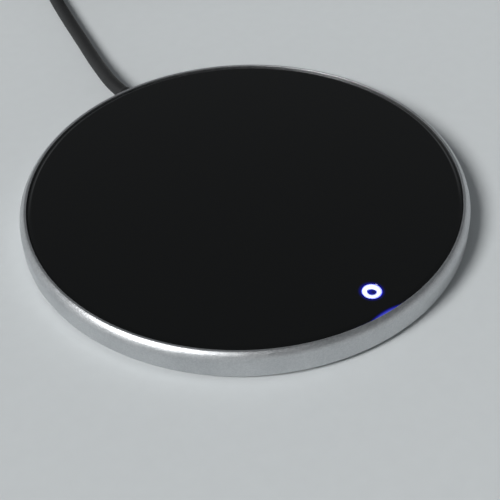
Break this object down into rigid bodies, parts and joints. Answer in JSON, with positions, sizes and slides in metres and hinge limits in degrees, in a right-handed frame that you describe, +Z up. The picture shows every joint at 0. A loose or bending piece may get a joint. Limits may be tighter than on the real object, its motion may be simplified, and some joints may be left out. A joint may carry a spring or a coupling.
{
  "type": "electric mug warmer",
  "caption": "Flat round mug warmer: satin aluminium rim, black glass heating plate, small lit push button near the edge, thin black cord out of the back edge.",
  "frame": {"origin": "centre of the disc, on the table plane under its feet", "axes": "+Z up, -Y towards the button, +Y towards the cord's exit"},
  "size_m": [0.1508, 0.2194, 0.0086],
  "materials": {
    "rim": "satin bead-blasted, anodised",
    "plate_glass": "glossy black tempered glass with a ground bevel",
    "seal": "adhesive foam tape",
    "thermal_adhesive": "cured silicone",
    "spreader": "rolled sheet",
    "heater_film": "polyimide film",
    "heater_foil": "etched foil",
    "insulation": "needled glass-fibre felt",
    "sensor_body": "resin-dipped bead",
    "fuse_body": "ceramic case",
    "board": "solder mask",
    "chip": "moulded resin",
    "capacitor": "fired ceramic",
    "resistor": "glazed",
    "solder": "bright solder",
    "copper": "tinned copper",
    "wire_insulation": "extruded PVC",
    "light_chip": "phosphor over a blue chip, emissive",
    "shield_foam": "closed-cell foam",
    "light_pipe": "clear acrylic lit from below, emissive white",
    "button_core": "polished black",
    "switch_case": "moulded nylon",
    "switch_metal": "stamped stainless",
    "plunger": "moulded nylon",
    "base_plastic": "fine spark-eroded texture",
    "screw_steel": "zinc-plated",
    "foot_rubber": "moulded silicone",
    "grommet_rubber": "overmoulded PVC",
    "cord_jacket": "matt extruded jacket",
    "tie_fabric": "hook-and-loop band",
    "plug_mould": "overmoulded PVC",
    "plug_metal": "nickel-plated sheet",
    "plug_insulator": "moulded PBT",
    "contact_gold": "gold-plated"
  },
  "bodies": {
    "root": {"housing_ring": "rim", "glass_plate": "plate_glass", "plate_seal": "seal", "thermal_adhesive": "thermal_adhesive", "heat_spreader": "spreader", "heater_film": "heater_film", "heater_track": "heater_foil", "insulation_pad": "insulation", "thermistor": "sensor_body", "thermal_fuse": "fuse_body", "circuit_board": "board", "control_chip": "chip", "power_transistor": "chip", "capacitors": "capacitor", "resistors": "resistor", "solder_joints": "solder", "heater_leads": "copper", "supply_wires": "wire_insulation", "ring_leds": "light_chip", "light_shield": "shield_foam", "switch_body": "switch_case", "switch_cover": "switch_metal", "switch_dome": "switch_metal", "base_cover": "base_plastic", "base_screws": "screw_steel", "board_screws": "screw_steel", "feet": "foot_rubber", "cord_grommet": "grommet_rubber", "cord_lead": "cord_jacket", "cord_coil": "cord_jacket", "cord_tail": "cord_jacket", "cord_tie": "tie_fabric", "plug_boot": "plug_mould", "plug_grip": "plug_mould", "plug_shell": "plug_metal", "plug_tongue": "plug_insulator", "plug_contacts": "contact_gold"},
    "button": {"button_cap": "button_core", "light_ring": "light_pipe", "switch_plunger": "plunger"}
  },
  "joints": [
    {"name": "button_press", "type": "slide", "parent": "root", "child": "button", "axis": [0, 0, -1], "range_m": [0, 0.0002], "stiffness_N_per_m": 1500, "springref_m": -0.0005, "deforming": ["switch_dome"]}
  ]
}
